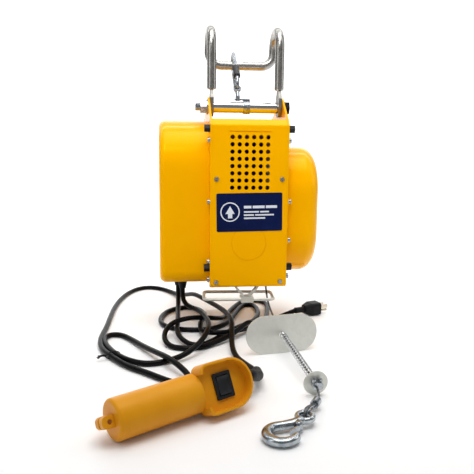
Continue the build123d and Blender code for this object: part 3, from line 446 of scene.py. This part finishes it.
def nickelBlade():
    # nickel-plated brass blades: warm silver, smooth
    material, tree, shader = newMaterial("nickelledBrass", "#C9BFAE", 1, 0.2)
    colourBetween(tree, shader, grain(tree, 3, 3), "#BDB19C", "#D6CFC2")
    relief(tree, shader, grain(tree, 0.7, 2), 0.01, 0.25)
    return material


def wireSteel(name="galvanisedWire", low="#55575A", high="#85888B"):
    # drawn galvanised wire: grey, lighter and darker in small random patches
    material, tree, shader = newMaterial(name, high, 1, 0.3)
    colourBetween(tree, shader, grain(tree, 2, 3), low, high)
    roughBetween(tree, shader, grain(tree, 1.5, 3), 0.24, 0.4)
    return material


def woundRope():
    # rope turns side by side on the drum: ridges two rope diameters apart, coarse enough to show, with
    # painted shade darker in the grooves and a painted highlight lighter on the crowns
    material, tree, shader = newMaterial("woundRope", "#8F9193", 1, 0.38)
    rope = 3.0
    line = addNode(tree, "TexWave", {"Scale": bandScale(2 * rope), "Distortion": 0.3},
                   {"Vector": place(tree)}).outputs["Fac"]
    # painted shade in the grooves between turns and painted highlight on their crowns, following the ridge
    # wave
    colourBetween(tree, shader, line, "#5C5D5E", "#A2A5A7")
    relief(tree, shader, line, 1.2)
    return material


finishes = {
    powderCoat(): ("front_cover", "rear_cover", "left_side_plate", "right_side_plate", "gear_cover",
                   "brake_cover"),
    printedPlate(): ("nameplate",),
    polishedRod(): ("hook_rod",),
    brushedLug(): ("hook_lugs",),
    chromedTube(): ("spacer_sleeve",),
    brightZinc(): ("cover_screws", "cross_nut", "band_clamp", "swivel_link", "carabiner", "carabiner_gate",
                   "rope_clamps", "shaft_bearings", "hook_latch"),
    zincSheet(): ("stop_plate", "limit_strap", "limit_frame", "gear_plate", "motor_end_bells",
                  "spring_washer"),
    blackOxide(): ("tie_bolts",),
    boltFinish(): ("cross_bolt",),
    mouldedRubber(): ("cord_glands", "handset_elbow", "plug_body"),
    handsetPlastic(): ("handset_front_shell", "handset_rear_shell"),
    rockerPlastic(): ("rocker", "rocker_bezel"),
    blackNylon(): ("gate_sleeve", "fan", "capacitor", "limit_switch"),
    motorIron(): ("motor_stator", "armature", "brake_coil", "brake_disc"),
    copperWinding(): ("field_windings",),
    gearSteel(): ("motor_shaft", "lay_shaft", "lay_gear", "drum_gear", "rope_drum"),
    nickelBlade(): ("plug_blades",),
    woundRope(): ("rope_winding",),
}
for material, names in finishes.items():
    for name in names:
        nodes[name].data.materials.clear()
        nodes[name].data.materials.append(material)
cordMaterial = cordSkin()
wireMaterial = wireSteel()
hookMaterial = brightZinc("forgedBrightZinc", "#8D979F", "#C2C8CB", 9, (0.16, 0.3))
inkMaterial = labelInk()
print("materials ready")


# Surfaces

def gridFaces(rows, columns, closedRows=False):
    # quads between neighbouring rows; every row is a closed ring
    last = rows if closedRows else rows - 1
    i, j = np.meshgrid(np.arange(last), np.arange(columns), indexing="ij")
    nextRow, nextColumn = (i + 1) % rows, (j + 1) % columns
    corners = [i * columns + j, i * columns + nextColumn,
               nextRow * columns + nextColumn, nextRow * columns + j]
    return np.stack(corners, -1).reshape(-1, 4)


def makePiece(name, points, faces, body, material, slot, smooth=True):
    mesh = bpy.data.meshes.new(name)
    mesh.from_pydata(np.asarray(points, float), [], [list(map(int, face)) for face in faces])
    shape = bmesh.new()
    shape.from_mesh(mesh)
    bmesh.ops.recalc_face_normals(shape, faces=shape.faces)
    shape.to_mesh(mesh)
    shape.free()
    mesh.polygons.foreach_set("use_smooth", [smooth] * len(mesh.polygons))
    mesh.materials.append(material)
    piece = bpy.data.objects.new(name, mesh)
    bpy.context.scene.collection.objects.link(piece)
    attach(piece, body)
    return piece


def frames(path, upward, closed=False):
    # unit vectors at each path point: along it, to its side, and up, the side being along x upward
    ends = (np.roll(path, -1, 0) - np.roll(path, 1, 0)) if closed else np.gradient(path, axis=0)
    along = ends / np.linalg.norm(ends, axis=1, keepdims=True)
    side = np.cross(along, np.broadcast_to(upward, along.shape))
    side /= np.linalg.norm(side, axis=1, keepdims=True)
    return along, side, np.cross(side, along)


def sweep(path, outline, upward, closed=False):
    # a section carried along a path: point = path + a side + b up, for each (a, b) of the outline;
    # the outline is one ring, or one ring for each path point
    _, side, up = frames(path, upward, closed)
    rings = np.broadcast_to(outline, (len(path),) + outline.shape[-2:])
    points = path[:, None] + rings[..., :1] * side[:, None] + rings[..., 1:] * up[:, None]
    columns = outline.shape[-2]
    faces = [list(f) for f in gridFaces(len(path), columns, closed)]
    if not closed:
        first = list(range(columns))
        faces += [first, [(len(path) - 1) * columns + k for k in first]]
    return points.reshape(-1, 3), faces


def ring(a, b, count, power=2.0):
    # superellipse: (a cos^(2/p), b sin^(2/p)) with their signs kept
    turn = np.linspace(0, 2 * np.pi, count, endpoint=False)
    c, s = np.cos(turn), np.sin(turn)
    wide, high = np.sign(c) * np.abs(c) ** (2 / power), np.sign(s) * np.abs(s) ** (2 / power)
    return np.stack([a * wide, b * high], -1)


def join(parts):
    points, faces, start = [], [], 0
    for some, those in parts:
        points.append(some)
        faces += [[k + start for k in face] for face in those]
        start += len(some)
    return np.concatenate(points), faces


def prism(outline, origin, xWay, yWay, depth):
    # flat outline in a plane, thickened to both sides of it by half of depth
    origin, xWay, yWay = (np.asarray(v, float) for v in (origin, xWay, yWay))
    out = np.cross(xWay, yWay)
    flat = origin + outline[:, :1] * xWay + outline[:, 1:] * yWay
    count = len(outline)
    points = np.concatenate([flat - out * depth / 2, flat + out * depth / 2])
    faces = [list(range(count)), [count + k for k in range(count)]]
    faces += [[k, (k + 1) % count, count + (k + 1) % count, count + k] for k in range(count)]
    return points, faces


# Wire rope: six strands laid round a core

ropeFacts = {"diameter": 3.0, "strands": 6, "lay": 19.0}


def strandedRope(line, facts, upward=(1, 0, 0)):
    # each strand's line: the rope's line + r (side cos t + up sin t), t growing by one turn per lay length
    _, side, up = frames(line, upward)
    run = np.concatenate([[0], np.cumsum(np.linalg.norm(np.diff(line, axis=0), axis=1))])
    radius = facts["diameter"] * mm / 2
    strand = radius * 0.36
    parts = [sweep(line, ring(radius * 0.5, radius * 0.5, 8), upward)]
    for k in range(facts["strands"]):
        turn = (2 * np.pi * (run / (facts["lay"] * mm) + k / facts["strands"]))[:, None]
        offset = (radius - strand) * (side * np.cos(turn) + up * np.sin(turn))
        parts.append(sweep(line + offset, ring(strand, strand, 7), upward))
    return join(parts)


wireRope = makePiece("wireRope", *strandedRope(ropeLine, ropeFacts), "housing", wireMaterial, "wire_steel")


# Rope eye: the rope turned back round a thimble

eyeFacts = {"half": 6.8, "long": 40.0, "tail": 14.0, "pinch": 2.0}
thimbleFacts = {"outside": (2.3, 2.6), "inside": (1.7, 2.0), "wrap": 1.75}


def eyeLine(facts, tail=True):
    # half a turn round the hook's eye, then two straight legs that draw together, in (along, up)
    half, span = facts["half"], facts["long"] - 2 * facts["half"]
    turn = np.linspace(np.pi / 2, 3 * np.pi / 2, 25)
    bend = np.stack([half * np.cos(turn), half * np.sin(turn)], 1)
    leg = np.linspace(0, 1, 20)[1:, None]
    ease = leg * leg * (3 - 2 * leg)
    low = np.concatenate([span * leg, (half - facts["pinch"]) * ease - half], 1)
    if tail:
        end = np.linspace(0, 1, 8)[1:, None]
        straight = np.concatenate([span + facts["tail"] * end, 0 * end - facts["pinch"]], 1)
        low = np.concatenate([low, straight])
    high = low[::-1] * (1, -1)
    return np.concatenate([high, bend, low])


def inEyePlane(flat):
    centre = np.array(hookEye + eyeWay * eyeFacts["half"])
    return (centre + flat[:, :1] * np.array(eyeWay) + flat[:, 1:] * np.array((0, 0, 1.0))) * mm


def grooveRing(facts):
    # the thimble's channel: an outer arc of an ellipse, out, and an inner one, back
    turn = np.linspace(-facts["wrap"], facts["wrap"], 15)
    arcs = [np.stack([a * np.cos(turn), b * np.sin(turn)], 1) for a, b in (facts["outside"], facts["inside"])]
    return np.concatenate([arcs[0], arcs[1][::-1]]) * mm


eyeNormal = np.cross(np.array(eyeWay), (0, 0, 1.0))
eyePath = inEyePlane(eyeLine(eyeFacts))
thimblePath = inEyePlane(eyeLine(eyeFacts, tail=False))
bendSide = frames(thimblePath, eyeNormal)[1][len(thimblePath) // 2]
inward = 1 if np.dot(bendSide, np.array(eyeWay)) > 0 else -1  # the channel's back faces into the eye
ropeEye = makePiece("ropeEye", *strandedRope(eyePath, ropeFacts, eyeNormal), "housing", wireMaterial,
                    "wire_steel")
thimbleShape = sweep(thimblePath, grooveRing(thimbleFacts) * (inward, 1), eyeNormal)
thimble = makePiece("thimble", *thimbleShape, "housing", nodes["rope_clamps"].data.materials[0],
                    "zinc_fasteners")
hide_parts("rope_eye")


# Stop spring: a compression coil with two closed turns at each end

springFacts = {"outer": 10.0, "wire": 1.5, "turns": 24, "closed": 2.0, "from": 3.6, "to": 1.0,
               "pointsPerTurn": 22}


def coil(facts):
    # centre line: radius round the spring's axis, moving on by one wire per turn at the ends and
    # evenly between them
    turns = np.linspace(0, facts["turns"], facts["turns"] * facts["pointsPerTurn"])
    length = (springTo - springFrom).length - facts["from"] - facts["to"] - facts["wire"]
    shut = facts["closed"] * facts["wire"]
    along = np.interp(turns, [0, facts["closed"], facts["turns"] - facts["closed"], facts["turns"]],
                      [0, shut, length - shut, length]) + facts["from"] + facts["wire"] / 2
    way = np.array(springWay)
    across = np.cross(way, (0, 0, 1.0))
    across /= np.linalg.norm(across)
    rise = np.cross(across, way)
    radius = (facts["outer"] - facts["wire"]) / 2
    spin = (2 * np.pi * turns)[:, None]
    around = across * np.cos(spin) + rise * np.sin(spin)
    line = np.array(springFrom) + along[:, None] * way + radius * around
    return sweep(line * mm, ring(facts["wire"] / 2 * mm, facts["wire"] / 2 * mm, 8), way)


springMaterial = wireSteel("springWire", "#B9BBBD", "#E2E4E5")
stopSpring = makePiece("stopSpring", *coil(springFacts), "housing", springMaterial, "wire_steel")
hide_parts("stop_spring")
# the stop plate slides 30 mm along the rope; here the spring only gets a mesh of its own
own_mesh(stopSpring)


# Load hook: forged, with an eye, a thick bowl and a drawn-out tip

hookFacts = {"bearing": (-0.72, -0.694), "tilt": 3.6, "eye": 8.5, "bowl": 16.0, "bowlAt": 44.0,
             "start": -130, "end": 125, "corner": (19.1, 0.0), "roundFrom": 0.955,
             "stations": [0, 0.1, 0.25, 0.55, 0.8, 0.95, 1],
             "wide": [6.2, 5.2, 4.8, 6.3, 5.2, 4.2, 3.6], "thick": [5.0, 4.8, 4.8, 4.9, 4.6, 4.4, 4.0],
             "eyeSection": (3.3, 3.6), "lugs": (-3.95, 3.95), "lugThick": 1.3}


def hookAxes(facts):
    # the hook lies along its bearing on the floor, its tip end lowered by tilt
    lean = math.radians(facts["tilt"])
    x, y = facts["bearing"]
    along = Vector((x * math.cos(lean), y * math.cos(lean), -math.sin(lean))).normalized()
    out = Vector((x * math.sin(lean), y * math.sin(lean), math.cos(lean))).normalized()
    return np.array(along), np.array(out.cross(along)), np.array(out)


hookX, hookY, hookZ = hookAxes(hookFacts)


def onHook(flat):
    return (np.array(hookEye) + flat[:, :1] * hookX + flat[:, 1:] * hookY) * mm


def forgedHook(facts):
    # line: a parabola from the shank into the bowl's circle; the section is a superellipse whose
    # width in the hook's plane swells from the shank to the bottom of the bowl and thins to the tip,
    # where the last stretch is rounded off like a quarter of an ellipse
    begin = math.radians(facts["start"])
    neck = np.array([facts["bowlAt"] + facts["bowl"] * math.cos(begin), facts["bowl"] * math.sin(begin)])
    corner, first = np.array(facts["corner"]), np.array([facts["eye"], 0.0])
    t = np.linspace(0, 1, 22)[:, None]
    shank = (1 - t) ** 2 * first + 2 * t * (1 - t) * corner + t * t * neck
    turn = np.radians(np.linspace(facts["start"], facts["end"], 70)[1:])
    bowl = np.stack([facts["bowlAt"] + facts["bowl"] * np.cos(turn), facts["bowl"] * np.sin(turn)], 1)
    line = np.concatenate([shank, bowl])
    run = np.concatenate([[0], np.cumsum(np.linalg.norm(np.diff(line, axis=0), axis=1))])
    s = run / run[-1]
    wide = np.interp(s, facts["stations"], facts["wide"])
    thick = np.interp(s, facts["stations"], facts["thick"])
    tip = np.clip(s - facts["roundFrom"], 0, 1) / (1 - facts["roundFrom"])
    close = 10 ** -3 + np.sqrt(np.clip(1 - tip ** 2, 0, 1))
    outline = ring(1, 1, 28, 2.5)[None] * np.stack([wide * close, thick * close], 1)[:, None] * mm
    body = sweep(onHook(line), outline, hookZ)
    around = np.linspace(0, 2 * np.pi, 56, endpoint=False)
    circle = onHook(np.stack([facts["eye"] * np.cos(around), facts["eye"] * np.sin(around)], 1))
    eye = sweep(circle, ring(*facts["eyeSection"], 20, 2.4) * mm, hookZ, closed=True)
    lug = np.array([(15.5, 1), (23.5, 1), (23.2, 6), (21.2, 9.2), (18.6, 9.8), (16.4, 8.6), (15.5, 5)])
    plates = [prism(lug * mm, (np.array(hookEye) + height * hookZ) * mm, hookX, hookY,
                    facts["lugThick"] * mm) for height in facts["lugs"]]
    return join([body, eye, *plates])


loadHook = makePiece("loadHook", *forgedHook(hookFacts), "load_hook", hookMaterial, "forged_zinc")
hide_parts("load_hook")


pinFacts = {"at": (19.5, 7.4), "radius": 1.5, "thick": 0.8, "heights": (-5.0, 5.0)}


def pinHeads(facts):
    # two flat discs, one outside each lug plate
    turn = np.linspace(0, 2 * np.pi, 20, endpoint=False)
    x, y = facts["at"]
    disc = np.stack([x + facts["radius"] * np.cos(turn), y + facts["radius"] * np.sin(turn)], 1)
    return join([prism(disc * mm, (np.array(hookEye) + height * hookZ) * mm, hookX, hookY,
                       facts["thick"] * mm) for height in facts["heights"]])


latchPin = makePiece("latchPin", *pinHeads(pinFacts), "load_hook", hookMaterial, "forged_zinc", smooth=False)
print("rope end made")


# Label: a round sign with an arrow and plain bars, as thin ink on the plate

labelFacts = {"centre": (0.5, -92.55, -260), "turn": 1.0, "ink": 0.08,
              "sign": (13.6, 15.4, -31, 1),
              "arrow": [(-38.4, -2), (-31, 10.4), (-23.6, -2), (-27.6, -2), (-27.6, -9), (-34.4, -9),
                        (-34.4, -2)],
              "bars": [(-9, 6.2, 12, 4.2), (5, 6.2, 19, 4.2), (26, 6.2, 18, 4.2), (-9, -0.6, 24, 2.4),
                       (17, -0.6, 14, 2.4), (-9, -5.6, 16, 2.4), (9, -5.6, 30, 2.4), (-9, -10.6, 34, 2.4)]}


def labelPrint(facts):
    lean = math.radians(facts["turn"])
    across = np.array([math.cos(lean), 0, math.sin(lean)])
    upward = np.array([-math.sin(lean), 0, math.cos(lean)])
    centre = np.array(facts["centre"]) * mm

    def flat(outline):
        return prism(np.array(outline, float) * mm, centre, across, upward, facts["ink"] * mm)

    def band(inner, outer, x, y):
        # a flat ring as flat blocks between two circles
        count = 48
        turn = np.radians(np.linspace(0, 360, count + 1))
        rim, bore = ([(x + r * math.cos(a), y + r * math.sin(a)) for a in turn] for r in (outer, inner))
        return [flat([rim[k], rim[k + 1], bore[k + 1], bore[k]]) for k in range(count)]

    def bar(x, y, width, height):
        return flat([(x, y), (x + width, y), (x + width, y + height), (x, y + height)])

    parts = band(*facts["sign"])
    parts += [flat(facts["arrow"])]
    parts += [bar(*shape) for shape in facts["bars"]]
    return join(parts)


labelMarks = makePiece("labelMarks", *labelPrint(labelFacts), "housing", inkMaterial, "blue_plate",
                       smooth=False)


# Twist tie on the pendant's hank

tieFacts = {"at": (-207.5, -198, 5.4), "wide": 10.6, "high": 4.9, "wire": 0.75, "reach": 12,
            "turns": 3.5, "arch": 5, "gap": 0.9, "open": 10.4, "openFrom": 0.7}


def twistTie(facts):
    # an oval turn round both cords, at right angles to them, and two ends twisted together, which
    # open from each other beyond openFrom of their reach
    way, across, up = np.array([-0.47, 0.88, 0.0]), np.array([0.88, 0.47, 0.0]), np.array([0, 0, 1.0])
    centre = np.array(facts["at"]) + (0, 0, floorZ / mm)
    turn = np.linspace(0, 2 * np.pi, 40, endpoint=False)[:, None]
    loop = centre + across * facts["wide"] * np.cos(turn) + up * facts["high"] * np.sin(turn)
    skin = ring(facts["wire"], facts["wire"], 8) * mm
    parts = [sweep(loop * mm, skin, way, closed=True)]
    t = np.linspace(0, 1, 60)[:, None]
    for phase in (0, np.pi):
        spin = 2 * np.pi * facts["turns"] * t + phase
        spread = facts["gap"] + facts["open"] * np.clip(t - facts["openFrom"], 0, 1) ** 1.5
        arch = facts["high"] * 0.2 + facts["arch"] * (t - t * t)
        middle = centre - across * (facts["wide"] + facts["reach"] * t) + up * arch
        line = middle + spread * (way * np.cos(spin) + up * np.sin(spin))
        parts.append(sweep(line * mm, skin, way))
    return join(parts)


tieMaterial = mouldedRubber("tiePvc", "#0E0E10", "#1A1A1C")
twistTieWire = makePiece("twistTie", *twistTie(tieFacts), "housing", tieMaterial, "rubber")
print("label and tie made")


# The cords: their material and body, in place of their CAD solids

for piece, solids in ((pendantCord, ("pendant_cord_start", "pendant_cord_hank", "pendant_cord_end")),
                      (mainsCord, ("mains_cord_start", "mains_cord_hank", "mains_cord_end"))):
    piece.data.materials.append(cordMaterial)
    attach(piece, "housing")
    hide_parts(*solids)
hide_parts("wire_rope")


# Studio

studioFacts = {"world": 0.22, "floor": "#FAFAFA", "front": -4.0, "back": 2.2, "bend": 0.9, "top": 4.0,
               "half": 4.5, "gap": 0.0002}


def makeStudio(facts):
    # a floor that curves up into a wall well behind the object: one profile carried along X
    turn = np.linspace(0, np.pi / 2, 24)
    back, bend = facts["back"], facts["bend"]
    y = np.concatenate([[facts["front"], back], back + bend * np.sin(turn[1:]), [back + bend]])
    z = np.concatenate([[0.0, 0.0], bend * (1 - np.cos(turn[1:])), [facts["top"]]])
    x = np.array([-facts["half"], facts["half"]])
    points = np.stack([np.repeat(x, len(y)), np.tile(y, 2), np.tile(z, 2) + floorZ - facts["gap"]], 1)
    faces = [[k, len(y) + k, len(y) + k + 1, k + 1] for k in range(len(y) - 1)]
    mesh = bpy.data.meshes.new("studioFloor")
    mesh.from_pydata(points, [], faces)
    mesh.polygons.foreach_set("use_smooth", [True] * len(mesh.polygons))
    material, tree, shader = newMaterial("studioPaper", facts["floor"], 0, 0.6)  # smooth white paper
    roughBetween(tree, shader, grain(tree, 40, 3), 0.5, 0.62)
    mesh.materials.append(material)
    floor = bpy.data.objects.new("studioFloor", mesh)
    bpy.context.scene.collection.objects.link(floor)
    world = bpy.data.worlds.new("studioWorld")
    world.use_nodes = True
    world.node_tree.nodes["Background"].inputs["Color"].default_value = (1, 1, 1, 1)
    world.node_tree.nodes["Background"].inputs["Strength"].default_value = facts["world"]
    bpy.context.scene.world = world
    bpy.context.scene.view_settings.view_transform = "Standard"


def softBox(name, spot, aim, size, power, spread=math.pi):
    data = bpy.data.lights.new(name, "AREA")
    data.shape = "RECTANGLE"
    data.size, data.size_y = size
    data.energy = power
    data.spread = spread
    lamp = bpy.data.objects.new(name, data)
    lamp.location = spot
    lamp.rotation_euler = (Vector(aim) - Vector(spot)).to_track_quat("-Z", "Y").to_euler()
    bpy.context.scene.collection.objects.link(lamp)


makeStudio(studioFacts)
lampFacts = {  # where it stands, what it faces, its size, its power, and its spread where it is narrow
    "topBox": ((0.05, -0.35, 1.15), (0, -0.1, -0.3), (1.3, 1.0), 16),
    "keyBox": ((-0.3, -0.95, 0.75), (0, -0.1, -0.08), (0.5, 0.3), 0.5, 0.8),
    "leftBox": ((-1.15, -0.75, 0.25), (0, 0, -0.25), (0.5, 1.1), 2.4),
    "rightBox": ((1.1, -0.3, 0.35), (0, 0, -0.25), (0.4, 1.0), 2),
    "wallBox": ((0, 1.1, 1.9), (0, 3.0, 0.1), (5.0, 1.0), 105),
}
for name, values in lampFacts.items():
    softBox(name, *values)
print("studio ready")
